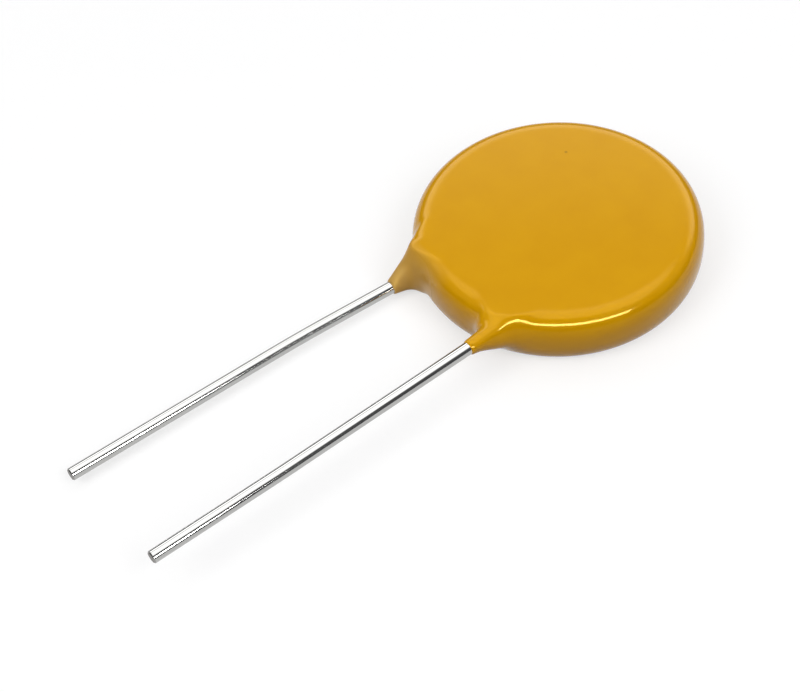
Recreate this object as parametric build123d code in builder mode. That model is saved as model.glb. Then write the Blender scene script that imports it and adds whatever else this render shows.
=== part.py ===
# Epoxy-coated disc varistor with two straight radial leads, lying on the flat underside of its coating.
# The origin is the centre of that underside, Z is up, and the leads run towards -Y.
# The front lead is on the upper electrode at +X, and the rear lead is on the lower electrode at -X.
# All lengths are in millimetres and all angles in degrees.
import os
from math import cos, radians, sin, sqrt

from build123d import *

# Pressed zinc oxide disc and its two fired electrodes
ceramic_diameter = 20.0
ceramic_thickness = 1.0
electrode_thickness = 0.1
electrode_margin = 0.8

# Tinned wire leads, with the slight bends that they have in the hand
lead_diameter = 0.95
lead_pitch = 9.54
lead_pair_shift = 0.2
lead_inner_margin = 3.0
lead_knee_bend_radius = 120.0
lead_end_chamfer = 0.08
front_splay_angle = 1.7
front_knee_angle = 0.86
front_knee_run = 16.1
front_free_length = 26.6
rear_splay_angle = 2.65
rear_knee_angle = 0.38
rear_knee_run = 8.0
rear_free_length = 27.2

# Solder that holds each lead to its electrode
solder_film = 0.05
solder_width = 2.2
solder_height = 0.6
solder_sag = 0.12
solder_margin = 0.5

# Epoxy coating, dipped over all of it, with a run-down neck on each lead
rim_cover = 0.75
coating_sag = 0.1
lead_cover = 0.55
rim_bulge = 0.8
rim_shoulder_radius = 1.2
front_neck_run = 3.75
rear_neck_run = 3.35
neck_depth = 2.4
neck_root_radius = 3.4
neck_end_wall = 0.05
neck_bow = 0.85
neck_face_drop = 0.1

# Sizes that follow from those above
ceramic_radius = ceramic_diameter / 2
electrode_radius = ceramic_radius - electrode_margin
lead_radius = lead_diameter / 2
lead_offset = ceramic_thickness + 2 * electrode_thickness + 2 * solder_film + lead_diameter
coating_radius = ceramic_radius + rim_cover
coating_thickness = lead_offset + lead_diameter + 2 * lead_cover
mid_height = coating_thickness / 2
lead_edge_reach = sqrt(ceramic_radius**2 - (lead_pitch / 2) ** 2)
solder_chord = sqrt(electrode_radius**2 - (lead_pitch / 2 + lead_pair_shift + solder_width / 2) ** 2)
lead_inner_run = lead_edge_reach + solder_chord - lead_inner_margin

# Side of each lead along X, which is also the side of its electrode along Z
front = 1
rear = -1

os.makedirs("parts", exist_ok=True)


def lead_corner(side):
    """Point on a lead's axis where it crosses the edge of the ceramic."""
    return Vector(lead_pair_shift + side * lead_pitch / 2, -lead_edge_reach, mid_height + side * lead_offset / 2)


def run_direction(side, angle):
    """Direction away from the disc of a stretch of lead that splays outwards by an angle."""
    return Vector(side * sin(radians(angle)), -cos(radians(angle)), 0)


def make_lead(label, side, splay_angle, knee_angle, neck_run, knee_run, free_length):
    """Round wire from its soldered end, over the ceramic's edge and down to its cut end."""
    corner = lead_corner(side)
    run = run_direction(side, splay_angle)
    start = corner - run * lead_inner_run
    knee = corner + run * (neck_run + knee_run)
    tip = knee + run_direction(side, knee_angle) * (free_length - knee_run)
    with BuildPart() as lead:
        with BuildLine() as route:
            FilletPolyline(start, knee, tip, radius=lead_knee_bend_radius)
        with BuildSketch(Plane(origin=start, z_dir=run)):
            Circle(lead_radius)
        sweep(path=route.wires()[0])
        chamfer(lead.faces().sort_by(Axis.Y)[0].edges(), length=lead_end_chamfer)
    lead.part.label = label
    export_step(lead.part, f"parts/{label}.step")
    return lead.part


def make_electrode(label, side):
    """Thin fired metal layer on one face of the ceramic."""
    with BuildPart() as electrode:
        with BuildSketch(Plane.XY.offset(mid_height + side * ceramic_thickness / 2)):
            Circle(electrode_radius)
        extrude(amount=side * electrode_thickness)
    electrode.part.label = label
    export_step(electrode.part, f"parts/{label}.step")
    return electrode.part


def make_solder_joint(label, side, splay_angle, lead):
    """Solder with hollow sides along the lead and rounded ends, seated on the electrode."""
    inwards = run_direction(side, splay_angle) * -1
    outer_gap = lead_edge_reach - solder_chord + solder_margin
    length = lead_inner_run + solder_margin - outer_gap
    electrode_gap = side * (solder_film + lead_radius)
    outer_end = lead_corner(side) + inwards * outer_gap - Vector(0, 0, electrode_gap)
    seat = Plane(origin=outer_end, x_dir=inwards, z_dir=(0, 0, side))
    section_plane = Plane(origin=outer_end, x_dir=Vector(0, 0, side).cross(inwards), z_dir=inwards)
    with BuildPart() as solder_joint:
        with BuildSketch(section_plane):
            with BuildLine():
                foot = Line((-solder_width / 2, 0), (solder_width / 2, 0))
                near_side = SagittaArc(foot @ 1, (lead_radius, solder_height), solder_sag)
                crest = Line(near_side @ 1, (-lead_radius, solder_height))
                SagittaArc(crest @ 1, foot @ 0, solder_sag)
            make_face()
        extrude(amount=length)
        with BuildSketch(seat):
            with Locations((length / 2, 0)):
                SlotOverall(length, solder_width)
        extrude(amount=solder_height, mode=Mode.INTERSECT)
        add(lead, mode=Mode.SUBTRACT)
    solder_joint.part.label = label
    export_step(solder_joint.part, f"parts/{label}.step")
    return solder_joint.part


def make_neck(side, splay_angle, neck_run):
    """Run-down neck: a plate with hollow flanks just under the faces of the disc, tapered about the lead."""
    corner = lead_corner(side)
    run = run_direction(side, splay_angle)
    across = Vector(0, 0, 1).cross(run)
    end_radius = lead_radius + neck_end_wall
    with BuildPart() as neck:
        with BuildSketch(Plane(origin=(corner.X, corner.Y, neck_face_drop), x_dir=run, z_dir=(0, 0, 1))):
            with BuildLine():
                root = Line((-neck_depth, neck_root_radius), (-neck_depth, -neck_root_radius))
                flank = SagittaArc(root @ 1, (neck_run, -end_radius), neck_bow)
                end = Line(flank @ 1, (neck_run, end_radius))
                SagittaArc(end @ 1, root @ 0, neck_bow)
            make_face()
        extrude(amount=coating_thickness - 2 * neck_face_drop)
        with BuildSketch(Plane(origin=corner, x_dir=across, z_dir=across.cross(run))):
            with BuildLine():
                taper = Line((neck_root_radius, -neck_depth), (end_radius, neck_run))
                Polyline(taper @ 1, (0, neck_run), (0, -neck_depth), taper @ 0)
            make_face()
        revolve(axis=Axis(corner, run), mode=Mode.INTERSECT)
    return neck.part


# Ceramic disc
with BuildPart() as ceramic_disc:
    with BuildSketch(Plane.XY.offset(mid_height - ceramic_thickness / 2)):
        Circle(ceramic_radius)
    extrude(amount=ceramic_thickness)
ceramic_disc.part.label = "ceramic_disc"
export_step(ceramic_disc.part, "parts/ceramic_disc.step")

# Electrodes, leads and solder
front_electrode = make_electrode("front_electrode", front)
rear_electrode = make_electrode("rear_electrode", rear)
front_lead = make_lead(
    "front_lead", front, front_splay_angle, front_knee_angle, front_neck_run, front_knee_run, front_free_length
)
rear_lead = make_lead(
    "rear_lead", rear, rear_splay_angle, rear_knee_angle, rear_neck_run, rear_knee_run, rear_free_length
)
front_solder_joint = make_solder_joint("front_solder_joint", front, front_splay_angle, front_lead)
rear_solder_joint = make_solder_joint("rear_solder_joint", rear, rear_splay_angle, rear_lead)

# Epoxy coating
front_neck = make_neck(front, front_splay_angle, front_neck_run)
rear_neck = make_neck(rear, rear_splay_angle, rear_neck_run)
with BuildPart() as epoxy_coating:
    with BuildSketch(Plane(origin=(0, -coating_sag, 0), x_dir=(1, 0, 0), z_dir=(0, -1, 0))) as half_section:
        with BuildLine():
            underside = Line((0, 0), (coating_radius - rim_bulge, 0))
            rim_top = (coating_radius - rim_bulge, coating_thickness)
            rim = ThreePointArc(underside @ 1, (coating_radius, mid_height), rim_top)
            upper_face = Line(rim @ 1, (0, coating_thickness))
            Line(upper_face @ 1, underside @ 0)
        make_face()
        fillet(half_section.vertices().group_by(Axis.X)[-1], radius=rim_shoulder_radius)
    revolve(axis=Axis((0, -coating_sag, 0), (0, 0, 1)))
    add(front_neck)
    add(rear_neck)
    add(ceramic_disc.part, mode=Mode.SUBTRACT)
    for piece in (front_electrode, rear_electrode, front_lead, rear_lead, front_solder_joint, rear_solder_joint):
        add(piece, mode=Mode.SUBTRACT)
epoxy_coating.part.label = "epoxy_coating"
export_step(epoxy_coating.part, "parts/epoxy_coating.step")
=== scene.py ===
from math import cos, pi, radians, sin

import bmesh
import bpy
import numpy as np
from mathutils import Matrix, Vector


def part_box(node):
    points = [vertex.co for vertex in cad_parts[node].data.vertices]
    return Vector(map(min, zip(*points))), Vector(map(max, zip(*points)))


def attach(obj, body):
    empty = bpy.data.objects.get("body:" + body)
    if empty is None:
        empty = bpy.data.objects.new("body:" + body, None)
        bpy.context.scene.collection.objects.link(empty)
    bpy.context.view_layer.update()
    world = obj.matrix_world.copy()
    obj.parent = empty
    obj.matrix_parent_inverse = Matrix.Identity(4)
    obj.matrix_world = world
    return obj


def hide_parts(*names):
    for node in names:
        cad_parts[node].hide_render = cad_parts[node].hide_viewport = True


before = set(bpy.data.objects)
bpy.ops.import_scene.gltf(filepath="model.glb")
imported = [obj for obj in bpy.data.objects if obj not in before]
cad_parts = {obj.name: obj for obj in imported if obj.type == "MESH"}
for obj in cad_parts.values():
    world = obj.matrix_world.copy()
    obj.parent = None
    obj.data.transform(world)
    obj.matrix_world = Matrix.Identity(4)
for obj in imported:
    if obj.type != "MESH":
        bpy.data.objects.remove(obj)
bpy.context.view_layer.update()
scene = bpy.context.scene

MM = 0.001

# Coating, in the sizes of the part's own frame
coating_low, coating_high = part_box("epoxy_coating")
coating_radius = (coating_high.x - coating_low.x) / 2
coating_thickness = coating_high.z
coating_centre = Vector((0, coating_high.y - coating_radius, 0))
mid_height = coating_thickness / 2
rim_round = 1.5 * MM
rim_fullness = 2.4
rim_steps = 36
disc_steps = 240

# Run-down necks of the coating, each along its lead. Near is towards the lead's own face of the disc, and far
# towards the other face. Inner is towards the other lead.
lead_radius = (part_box("front_lead")[1].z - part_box("front_lead")[0].z) / 2
lead_half_pitch = 4.77 * MM
lead_pair_shift = 0.2 * MM
lead_edge_reach = 8.789 * MM
lead_sides = {"front_lead": 1, "rear_lead": -1}
neck_runs = {"front_lead": 3.75 * MM, "rear_lead": 3.35 * MM}
neck_splays = {"front_lead": 1.7, "rear_lead": 2.65}
neck_widenings = {"front_lead": 0.05, "rear_lead": 0.08}
neck_near_rises = {"front_lead": 0.085, "rear_lead": 0.1}
neck_far_rises = {"front_lead": 0.085, "rear_lead": 1.25}
neck_swells = {"front_lead": 1.3 * MM, "rear_lead": 0.0}
neck_swell_reach = 2.3 * MM
neck_swell_power = 3
neck_outer_blends = {"front_lead": 0.9 * MM, "rear_lead": 1.0 * MM}
neck_inner_blends = {"front_lead": 2.2 * MM, "rear_lead": 1.9 * MM}
neck_turn = 1.2 * MM
neck_end_wall = 0.09 * MM
neck_depth = 1.5 * MM
neck_steps = 64

# Melting of disc and necks into one skin
melt_voxel = 0.12 * MM
melt_rounds = 12
melt_step = 0.01 * MM
soften_passes = 6
soften_share = 0.5
merge_distance = 0.0012 * MM
flattest_slope = 0.1

# Patterns of the finishes
epoxy_cloud_size = 2.5 * MM
epoxy_peel_size = 0.7 * MM
epoxy_peel_height = 0.0025 * MM
epoxy_roughness = (0.10, 0.13)
epoxy_ior = 1.46
# Rear neck: a thin coat that is duller there, and paler there as a painted reflection
thin_coat_and_reflection_start = -9.4 * MM
thin_coat_and_reflection_end = -11.2 * MM
thin_coat_and_reflection_side = -2.8 * MM
thin_coat_roughness = 0.5
dark_grain_place = (-4.61 * MM, 4.61 * MM, coating_thickness)
dark_grain_radius = 0.16 * MM
dark_grain_share = 0.7
die_line_width = 0.08 * MM
die_line_length = 8.0 * MM
die_line_height = 0.0008 * MM
nick_spacing = 1.1 * MM
nick_threshold = 0.8
nick_edge = 0.03
tin_roughness = (0.07, 0.11)
dull_tin_roughness = 0.38
sheared_facing = (-0.5, -0.9)
oxide_grain = 0.05 * MM
silver_grain = 0.1 * MM
solder_ripple = 0.6 * MM
grain_smooth_share = 0.6
grain_relief_share = 0.1

# Camera, from the photograph's view
image_width_px = 800
camera_focal_px = 1890.8
camera_azimuth = 57.712
camera_elevation = 49.655
camera_roll = -6.084
camera_distance = 0.136818
camera_target = Vector((-0.000522, -0.014509, 0.0))
sensor_width_mm = 36.0
camera_near_clip = 0.01

# Studio
floor_half_width = 0.9
floor_white = "fdfdfd"
floor_bounce = "746552"
floor_glow_share = 0.62
floor_fade_start = 0.06
floor_fade_end = 0.25
overhead_height = 0.30
overhead_centre_shares = (-0.32, 0.30)
overhead_size_shares = (2.44, 1.80)
overhead_power = 1.1
key_distance = 0.4
key_azimuths = (-95.0, 10.0)
key_elevation = 45.0
key_size = 0.2
key_power = 0.57
strip_distance = 0.90
strip_elevation = 34.0
strip_azimuth = -30.0
strip_length = 1.395
strip_height = 0.18
strip_power = 26.1
fill_grey = "5a5a5c"
ceiling_glow = 2.4
ceiling_low = 0.76
ceiling_full = 0.83
backdrop_glow = 3.2
backdrop_full = 0.64
backdrop_top = 0.73
between_glow = 0.5
horizon_low = 0.30
horizon_high = 0.46
ceiling_near_edge = (-0.38, -0.18)
backdrop_near_edge = (0.3, 0.55)


def srgb(hex_code):
    """Linear colour with alpha from a hex sRGB code."""
    channels = [int(hex_code[i:i + 2], 16) / 255 for i in (0, 2, 4)]
    linear = [c / 12.92 if c <= 0.04045 else ((c + 0.055) / 1.055) ** 2.4 for c in channels]
    return (*linear, 1.0)


def direction(azimuth, elevation):
    """Unit vector towards a point in the sky, with azimuth from +X towards +Y."""
    level = cos(radians(elevation))
    turn = radians(azimuth)
    return Vector((level * cos(turn), level * sin(turn), sin(radians(elevation))))


def add_node(material, kind, links=None, **settings):
    """Adds a node with its settings to a material or the world, and links its inputs to other nodes."""
    node = material.node_tree.nodes.new(kind)
    for name, value in settings.items():
        if hasattr(node, name):
            setattr(node, name, value)
        else:
            node.inputs[name.replace("_", " ")].default_value = value
    for name, source in (links or {}).items():
        material.node_tree.links.new(source, node.inputs[name])
    return node


def new_material(name):
    """Empty node material."""
    material = bpy.data.materials.new(name)
    material.use_nodes = True
    material.node_tree.nodes.clear()
    return material


def finish_material(material, shader):
    """Sends a shader to a new output node of the material."""
    add_node(material, "ShaderNodeOutputMaterial", {"Surface": shader.outputs[0]})
    return material


def make_epoxy():
    """Fused epoxy powder: flowed out to an even gloss, with faint orange peel and a slightly uneven amber."""
    material = new_material("fused_epoxy_powder")
    place = add_node(material, "ShaderNodeTexCoord").outputs["Object"]
    # Pigment that is a little denser in places
    cloud = add_node(
        material, "ShaderNodeTexNoise", {"Vector": place}, Scale=1 / epoxy_cloud_size, Detail=2.0
    )
    amber = add_node(material, "ShaderNodeMix", {0: cloud.outputs[0]}, data_type="RGBA")
    amber.inputs["A"].default_value = srgb("cc9100")
    amber.inputs["B"].default_value = srgb("d49b00")
    # Coat that thins out on the rear lead's neck and is duller there; its paler colour there is a painted
    # reflection of the bright surroundings
    axes = add_node(material, "ShaderNodeSeparateXYZ", {0: place})
    down = add_node(
        material, "ShaderNodeMapRange", {"Value": axes.outputs["Y"]}, From_Min=thin_coat_and_reflection_start,
        From_Max=thin_coat_and_reflection_end,
    )
    rear = add_node(
        material, "ShaderNodeMapRange", {"Value": axes.outputs["X"]}, From_Min=0.0, From_Max=thin_coat_and_reflection_side
    )
    thin_and_reflection = add_node(
        material, "ShaderNodeMath", {0: down.outputs[0], 1: rear.outputs[0]}, operation="MULTIPLY"
    )
    coat_with_painted_reflection = add_node(material, "ShaderNodeMix", {0: thin_and_reflection.outputs[0], 6: amber.outputs[2]}, data_type="RGBA")
    # Painted reflection: a pale tan laid into the rear neck's colour
    coat_with_painted_reflection.inputs["B"].default_value = srgb("c49a50")
    # One dark grain that was caught in the coat of the upper face
    grain = add_node(material, "ShaderNodeVectorMath", {0: place}, operation="DISTANCE")
    grain.inputs[1].default_value = dark_grain_place
    dark = add_node(
        material, "ShaderNodeMapRange", {"Value": grain.outputs["Value"]}, From_Min=dark_grain_radius,
        From_Max=0.0, To_Max=dark_grain_share,
    )
    colour = add_node(material, "ShaderNodeMix", {0: dark.outputs[0], 6: coat_with_painted_reflection.outputs[2]}, data_type="RGBA")
    colour.inputs["B"].default_value = srgb("6a4a10")
    # Orange peel, drawn a little coarser than it is so that it shows
    peel = add_node(material, "ShaderNodeTexNoise", {"Vector": place}, Scale=1 / epoxy_peel_size, Detail=1.0)
    relief = add_node(material, "ShaderNodeBump", {"Height": peel.outputs[0]}, Distance=epoxy_peel_height)
    gloss = add_node(
        material, "ShaderNodeMapRange", {"Value": cloud.outputs[0]}, To_Min=epoxy_roughness[0],
        To_Max=epoxy_roughness[1],
    )
    roughness = add_node(
        material, "ShaderNodeMapRange", {"Value": thin_and_reflection.outputs[0], "To Min": gloss.outputs[0]},
        To_Max=thin_coat_roughness,
    )
    shader = add_node(
        material,
        "ShaderNodeBsdfPrincipled",
        {"Base Color": colour.outputs[2], "Roughness": roughness.outputs[0], "Normal": relief.outputs[0]},
        IOR=epoxy_ior,
    )
    shader.inputs["Specular Tint"].default_value = srgb("ffe07c")
    return finish_material(material, shader)


def make_wire():
    """Hot-tinned copper wire, wiped by a die: bright grey, with fine lines along it and a duller cut end."""
    material = new_material("tinned_copper_wire")
    place = add_node(material, "ShaderNodeTexCoord").outputs["Object"]
    # Lines that the die left along the wire
    stretch = add_node(material, "ShaderNodeMapping", {"Vector": place})
    stretch.inputs["Scale"].default_value = (1 / die_line_width, 1 / die_line_length, 1 / die_line_width)
    lines = add_node(material, "ShaderNodeTexNoise", {"Vector": stretch.outputs[0]}, Scale=1.0, Detail=2.0)
    tin = add_node(material, "ShaderNodeMix", {0: lines.outputs[0]}, data_type="RGBA")
    tin.inputs["A"].default_value = srgb("a8a8a6")
    tin.inputs["B"].default_value = srgb("bcbcba")
    # Small dull nicks from handling
    nicks = add_node(material, "ShaderNodeTexNoise", {"Vector": place}, Scale=1 / nick_spacing, Detail=0.0)
    nick = add_node(
        material, "ShaderNodeMapRange", {"Value": nicks.outputs[0]}, From_Min=nick_threshold,
        From_Max=nick_threshold + nick_edge,
    )
    worn = add_node(material, "ShaderNodeMix", {0: nick.outputs[0], 6: tin.outputs[2]}, data_type="RGBA")
    worn.inputs["B"].default_value = srgb("767470")
    # Sheared face at the end
    facing = add_node(material, "ShaderNodeNewGeometry").outputs["Normal"]
    away = add_node(material, "ShaderNodeSeparateXYZ", {0: facing}).outputs["Y"]
    sheared = add_node(
        material, "ShaderNodeMapRange", {"Value": away}, From_Min=sheared_facing[0],
        From_Max=sheared_facing[1],
    )
    colour = add_node(
        material, "ShaderNodeMix", {0: sheared.outputs[0], 6: worn.outputs[2]}, data_type="RGBA"
    )
    colour.inputs["B"].default_value = srgb("686460")
    dull = add_node(
        material, "ShaderNodeMath", {0: nick.outputs[0], 1: sheared.outputs[0]}, operation="MAXIMUM"
    )
    bright = add_node(
        material, "ShaderNodeMapRange", {"Value": lines.outputs[0]}, To_Min=tin_roughness[0],
        To_Max=tin_roughness[1],
    )
    roughness = add_node(
        material, "ShaderNodeMapRange", {"Value": dull.outputs[0], "To Min": bright.outputs[0]},
        To_Max=dull_tin_roughness,
    )
    relief = add_node(material, "ShaderNodeBump", {"Height": lines.outputs[0]}, Distance=die_line_height)
    shader = add_node(
        material,
        "ShaderNodeBsdfPrincipled",
        {"Base Color": colour.outputs[2], "Roughness": roughness.outputs[0], "Normal": relief.outputs[0]},
        Metallic=1.0,
    )
    return finish_material(material, shader)


def make_grained(name, dark, light, grain_size, metallic, roughest):
    """Grained finish of a hidden piece: two shades in grains of a real size, and a soft relief."""
    material = new_material(name)
    place = add_node(material, "ShaderNodeTexCoord").outputs["Object"]
    grain = add_node(material, "ShaderNodeTexNoise", {"Vector": place}, Scale=1 / grain_size, Detail=3.0)
    colour = add_node(material, "ShaderNodeMix", {0: grain.outputs[0]}, data_type="RGBA")
    colour.inputs["A"].default_value = srgb(dark)
    colour.inputs["B"].default_value = srgb(light)
    roughness = add_node(
        material, "ShaderNodeMapRange", {"Value": grain.outputs[0]}, To_Min=grain_smooth_share * roughest,
        To_Max=roughest,
    )
    relief = add_node(
        material, "ShaderNodeBump", {"Height": grain.outputs[0]}, Distance=grain_relief_share * grain_size
    )
    shader = add_node(
        material,
        "ShaderNodeBsdfPrincipled",
        {"Base Color": colour.outputs[2], "Roughness": roughness.outputs[0], "Normal": relief.outputs[0]},
        Metallic=metallic,
    )
    return finish_material(material, shader)


def spin_profile(points, origin, across, axis, steps):
    """Closed shell turned about an axis from a row of (distance out, distance along) points."""
    shell = bmesh.new()
    row = [shell.verts.new(origin + across * out + axis * along) for out, along in points]
    edges = [shell.edges.new(pair) for pair in zip(row, row[1:])]
    bmesh.ops.spin(
        shell, geom=row + edges, cent=origin, axis=axis, angle=2 * pi, steps=steps, use_merge=True
    )
    bmesh.ops.remove_doubles(shell, verts=shell.verts, dist=merge_distance)
    bmesh.ops.recalc_face_normals(shell, faces=shell.faces)
    return shell


def pour(shell, bm):
    """Moves a shell's mesh into another one."""
    mesh = bpy.data.meshes.new("shell")
    shell.to_mesh(mesh)
    shell.free()
    bm.from_mesh(mesh)
    bpy.data.meshes.remove(mesh)


def lead_axis(lead):
    """Point where a lead crosses the ceramic's edge, and its direction away from the disc."""
    side = lead_sides[lead]
    splay = radians(neck_splays[lead])
    low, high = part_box(lead)
    corner = Vector((lead_pair_shift + side * lead_half_pitch, -lead_edge_reach, (low.z + high.z) / 2))
    return corner, Vector((side * sin(splay), -cos(splay), 0))


def neck_halves(lead, reach, away):
    """Half width and half height of a neck's oval cone at a distance back from its end.

    The share called away is 0 towards the lead's own face of the disc and 1 towards the other face.
    """
    end_radius = lead_radius + neck_end_wall
    rise = neck_near_rises[lead] + (neck_far_rises[lead] - neck_near_rises[lead]) * away
    return end_radius + neck_widenings[lead] * reach, end_radius + rise * reach


def make_disc():
    """Flat-faced disc with a rim that is round like half an ellipse."""
    turns = [pi * (step / rim_steps - 0.5) for step in range(rim_steps + 1)]
    rim = [(coating_radius - rim_round * (1 - cos(turn)), mid_height * (1 + sin(turn))) for turn in turns]
    points = [(0, 0), *rim, (0, coating_thickness)]
    return spin_profile(points, coating_centre, Vector((1, 0, 0)), Vector((0, 0, 1)), disc_steps)


def make_neck(lead):
    """Plain cone of run-down epoxy round a lead."""
    corner, run = lead_axis(lead)
    end = neck_runs[lead]
    root_radius = max(neck_halves(lead, end + neck_depth, 0.5)) + neck_swells[lead] / 2
    end_radius = lead_radius + neck_end_wall
    points = [(0, -neck_depth), (root_radius, -neck_depth), (end_radius, end), (0, end)]
    return spin_profile(points, corner, Vector((0, 0, 1)).cross(run), run, neck_steps)


def melt_field(places):
    """Signed field of the fused epoxy, zero on its surface: disc and blended necks, flush with the faces."""
    out = np.hypot(*(places - coating_centre).T[:2]) - (coating_radius - rim_round)
    tall = np.abs(places[:, 2] - mid_height)
    rim = (np.maximum(out, 0) / rim_round) ** rim_fullness + (tall / mid_height) ** rim_fullness
    field = rim_round * (rim ** (1 / rim_fullness) - 1)
    for lead, side in lead_sides.items():
        corner, run = lead_axis(lead)
        along = (places - corner) @ run
        aside = (places - corner) @ Vector((0, 0, 1)).cross(run)
        rise = places[:, 2] - corner.z
        reach = neck_runs[lead] - along
        away = 0.5 - 0.5 * side * rise / np.maximum(np.hypot(aside, rise), melt_step)
        levelling = 1 - np.exp(-((np.maximum(reach, 0) / neck_swell_reach) ** 2))
        swell = neck_swells[lead] * levelling * away**neck_swell_power
        half_width, half_height = neck_halves(lead, reach, away)
        oval = np.hypot(aside / (half_width + swell), rise / (half_height + swell))
        neck = (oval - 1) * (np.minimum(half_width, half_height) + swell)
        neck = np.maximum(neck, np.maximum(along - neck_runs[lead], -neck_depth - along))
        inner = np.clip(-side * aside / neck_turn, 0, 1)
        blend = neck_outer_blends[lead] + (neck_inner_blends[lead] - neck_outer_blends[lead]) * inner
        overlap = np.maximum(blend - np.abs(field - neck), 0)
        field = np.minimum(field, neck) - overlap**2 / (4 * blend)
    return np.maximum(field, tall - mid_height)


def settle(places):
    """Moves places onto the fused surface, along the field's slope."""
    for _ in range(melt_rounds):
        height = melt_field(places)
        slope = np.empty_like(places)
        for axis in range(3):
            aside = np.zeros(3)
            aside[axis] = melt_step
            slope[:, axis] = (melt_field(places + aside) - melt_field(places - aside)) / (2 * melt_step)
        places = places - slope * (height / np.maximum((slope**2).sum(axis=1), flattest_slope))[:, None]
    return places


def add_coating(material):
    """Disc and necks melted into one smooth skin, as the epoxy is when it is fused."""
    bm = bmesh.new()
    for shell in (make_disc(), make_neck("front_lead"), make_neck("rear_lead")):
        pour(shell, bm)
    mesh = bpy.data.meshes.new("coating_skin")
    bm.to_mesh(mesh)
    bm.free()
    coating = bpy.data.objects.new("coating_skin", mesh)
    scene.collection.objects.link(coating)
    melt = coating.modifiers.new("melt", "REMESH")
    melt.mode = "VOXEL"
    melt.voxel_size = melt_voxel
    depsgraph = bpy.context.evaluated_depsgraph_get()
    melted = bpy.data.meshes.new_from_object(coating.evaluated_get(depsgraph))
    coating.modifiers.clear()
    places = np.array([vert.co for vert in melted.vertices], dtype=float)
    melted.vertices.foreach_set("co", settle(places).ravel())
    bm = bmesh.new()
    bm.from_mesh(melted)
    for _ in range(soften_passes):
        bmesh.ops.smooth_vert(
            bm, verts=bm.verts, factor=soften_share, use_axis_x=True, use_axis_y=True, use_axis_z=True
        )
    for face in bm.faces:
        face.smooth = True
    bm.to_mesh(mesh)
    bm.free()
    bpy.data.meshes.remove(melted)
    mesh.materials.append(material)
    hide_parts("epoxy_coating")
    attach(coating, "root")


def dress(node_name, material):
    """Gives a CAD node its finish."""
    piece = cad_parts[node_name]
    piece.data.materials.clear()
    piece.data.materials.append(material)


def add_floor():
    """Wide floor of white paper: matt and even, so that only the part's shadow shows on it."""
    mesh = bpy.data.meshes.new("floor")
    bm = bmesh.new()
    bmesh.ops.create_grid(bm, x_segments=1, y_segments=1, size=floor_half_width)
    bm.to_mesh(mesh)
    bm.free()
    floor = bpy.data.objects.new("floor", mesh)
    scene.collection.objects.link(floor)
    material = new_material("white_paper")
    light_path = add_node(material, "ShaderNodeLightPath")
    seen = light_path.outputs["Is Camera Ray"]
    for kind in ("Is Glossy Ray", "Is Transmission Ray"):
        seen = add_node(
            material, "ShaderNodeMath", {0: seen, 1: light_path.outputs[kind]}, operation="MAXIMUM"
        ).outputs[0]
    shade = add_node(material, "ShaderNodeMix", {0: seen}, data_type="RGBA")
    shade.inputs["A"].default_value = srgb(floor_bounce)
    shade.inputs["B"].default_value = srgb(floor_white)
    paper = add_node(material, "ShaderNodeBsdfDiffuse", {"Color": shade.outputs[2]})
    glow = add_node(material, "ShaderNodeEmission", Strength=1.0)
    # Paper that is lit evenly to white away from the part, and takes its shadow close by
    place = add_node(material, "ShaderNodeTexCoord").outputs["Object"]
    distance = add_node(material, "ShaderNodeVectorMath", {0: place}, operation="LENGTH")
    apart = add_node(
        material, "ShaderNodeMath", {0: distance.outputs["Value"], 1: light_path.outputs["Is Camera Ray"]},
        operation="MULTIPLY",
    )
    evenness = add_node(
        material, "ShaderNodeMapRange", {"Value": apart.outputs[0]}, From_Min=floor_fade_start,
        From_Max=floor_fade_end, To_Min=floor_glow_share,
    )
    share = add_node(material, "ShaderNodeMath", {0: seen, 1: evenness.outputs[0]}, operation="MULTIPLY")
    shader = add_node(
        material, "ShaderNodeMixShader", {0: share.outputs[0], 1: paper.outputs[0], 2: glow.outputs[0]}
    )
    finish_material(material, shader)
    mesh.materials.append(material)


def add_softbox(name, place, aim, width, height, power):
    """Rectangular softbox at a place, facing a point."""
    lamp = bpy.data.lights.new(name, "AREA")
    lamp.shape = "RECTANGLE"
    lamp.size = width
    lamp.size_y = height
    lamp.energy = power
    light = bpy.data.objects.new(name, lamp)
    light.location = place
    light.rotation_mode = "QUATERNION"
    light.rotation_quaternion = (aim - place).to_track_quat("-Z", "Y")
    scene.collection.objects.link(light)
    return light


def add_lights():
    """Wide softbox overhead, a key at each side and a strip on the camera's side."""
    overhead_place = Vector((*overhead_centre_shares, 1.0)) * overhead_height
    overhead = add_softbox(
        "overhead_softbox",
        overhead_place,
        overhead_place - Vector((0, 0, 1)),
        overhead_size_shares[0] * overhead_height,
        overhead_size_shares[1] * overhead_height,
        overhead_power,
    )
    overhead.visible_glossy = False
    middle = Vector((0, 0, 0))
    for azimuth in key_azimuths:
        key_place = direction(azimuth, key_elevation) * key_distance
        key = add_softbox("key_softbox", key_place, middle, key_size, key_size, key_power)
        key.visible_glossy = False
    strip_place = direction(strip_azimuth, strip_elevation) * strip_distance
    strip = add_softbox("strip_softbox", strip_place, middle, strip_length, strip_height, strip_power)
    strip.visible_diffuse = False


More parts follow.
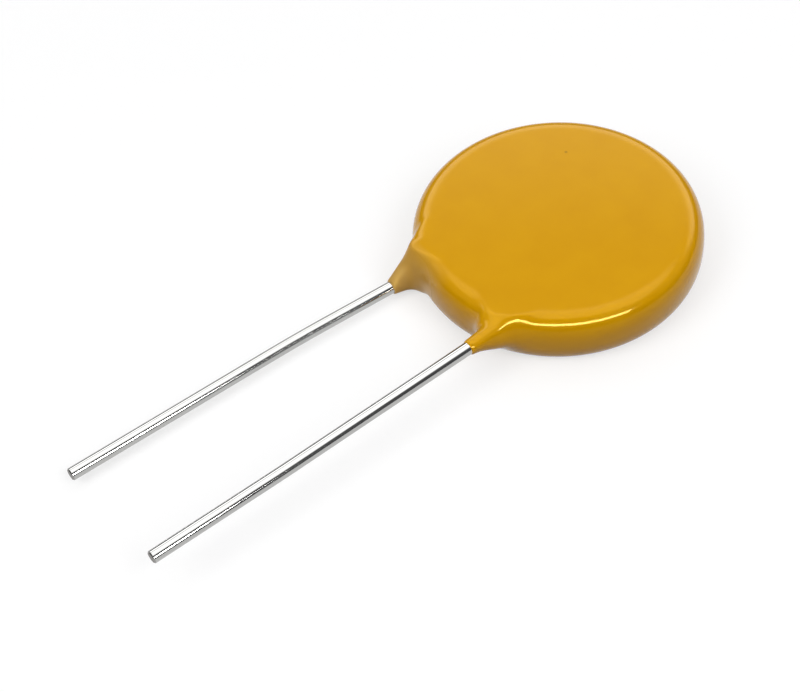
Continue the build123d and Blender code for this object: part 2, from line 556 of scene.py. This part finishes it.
def add_surround():
    """Dim grey room whose reflections show a pale ceiling and a bright backdrop beyond the part."""
    world = bpy.data.worlds.new("dim_studio")
    world.use_nodes = True
    sky = add_node(world, "ShaderNodeTexCoord")
    height = add_node(world, "ShaderNodeSeparateXYZ", {0: sky.outputs["Generated"]}).outputs["Z"]
    beyond = add_node(world, "ShaderNodeVectorMath", {0: sky.outputs["Generated"]}, operation="DOT_PRODUCT")
    beyond.inputs[1].default_value = direction(camera_azimuth + 90, 0)
    edges = (
        (height, horizon_low, horizon_high),
        (height, backdrop_top, backdrop_full),
        (beyond.outputs["Value"], *backdrop_near_edge),
        (height, ceiling_low, ceiling_full),
        (beyond.outputs["Value"], *ceiling_near_edge),
    )
    masks = [
        add_node(world, "ShaderNodeMapRange", {"Value": source}, From_Min=start, From_Max=end).outputs[0]
        for source, start, end in edges
    ]
    backdrop = add_node(world, "ShaderNodeMath", {0: masks[0], 1: masks[1]}, operation="MULTIPLY").outputs[0]
    backdrop = add_node(world, "ShaderNodeMath", {0: backdrop, 1: masks[2]}, operation="MULTIPLY").outputs[0]
    ceiling = add_node(world, "ShaderNodeMath", {0: masks[3], 1: masks[4]}, operation="MULTIPLY").outputs[0]
    between = add_node(
        world, "ShaderNodeMapRange", {"Value": backdrop}, To_Min=between_glow, To_Max=backdrop_glow
    )
    glow = add_node(
        world, "ShaderNodeMapRange", {"Value": ceiling, "To Min": between.outputs[0]}, To_Max=ceiling_glow
    )
    ray = add_node(world, "ShaderNodeLightPath")
    seen = ray.outputs["Is Glossy Ray"]
    seen = add_node(world, "ShaderNodeMath", {0: seen, 1: masks[4]}, operation="MULTIPLY").outputs[0]
    seen = add_node(world, "ShaderNodeMath", {0: seen, 1: masks[0]}, operation="MULTIPLY").outputs[0]
    white = add_node(world, "ShaderNodeBackground", {"Strength": glow.outputs[0]})
    white.inputs["Color"].default_value = srgb("ffffff")
    room = world.node_tree.nodes["Background"]
    room.inputs["Color"].default_value = srgb(fill_grey)
    mixed = add_node(world, "ShaderNodeMixShader", {0: seen, 1: room.outputs[0], 2: white.outputs[0]})
    plain = add_node(world, "ShaderNodeBackground", Strength=1.0)
    plain.inputs["Color"].default_value = srgb(floor_white)
    camera_ray = ray.outputs["Is Camera Ray"]
    mixed = add_node(
        world, "ShaderNodeMixShader", {0: camera_ray, 1: mixed.outputs[0], 2: plain.outputs[0]}
    )
    world.node_tree.links.new(mixed.outputs[0], world.node_tree.nodes["World Output"].inputs["Surface"])
    scene.world = world


def add_camera():
    """Camera at the photograph's place, turned about its line of sight by the photograph's roll."""
    back = direction(camera_azimuth - 90, camera_elevation)
    level_right = Vector((cos(radians(camera_azimuth)), sin(radians(camera_azimuth)), 0))
    level_up = back.cross(level_right)
    right = cos(radians(camera_roll)) * level_right + sin(radians(camera_roll)) * level_up
    up = back.cross(right)
    lens = bpy.data.cameras.new("camera")
    lens.sensor_width = sensor_width_mm
    lens.lens = camera_focal_px * sensor_width_mm / image_width_px
    lens.clip_start = camera_near_clip
    camera = bpy.data.objects.new("camera", lens)
    camera.rotation_mode = "QUATERNION"
    camera.rotation_quaternion = Matrix((right, up, back)).transposed().to_quaternion()
    camera.location = camera_target + back * camera_distance
    scene.collection.objects.link(camera)
    scene.camera = camera


epoxy = make_epoxy()
wire = make_wire()
dress("epoxy_coating", epoxy)
add_coating(epoxy)
for name in ("front_lead", "rear_lead"):
    dress(name, wire)
# Sintered zinc oxide: near black and matt, with a fine grain
dress("ceramic_disc", make_grained("sintered_zinc_oxide", "2c2c29", "45453f", oxide_grain, 0.0, 0.8))
# Fired silver paste: pale, matt metal with a screen-printed tooth
silver = make_grained("fired_silver_paste", "c9c7bf", "e2e0d9", silver_grain, 1.0, 0.55)
for name in ("front_electrode", "rear_electrode"):
    dress(name, silver)
# Tin solder: grey, satin and rippled where it froze
solder = make_grained("tin_solder", "a6a6a4", "c6c6c3", solder_ripple, 1.0, 0.4)
for name in ("front_solder_joint", "rear_solder_joint"):
    dress(name, solder)
add_floor()
add_lights()
add_surround()
add_camera()
scene.view_settings.view_transform = "Standard"
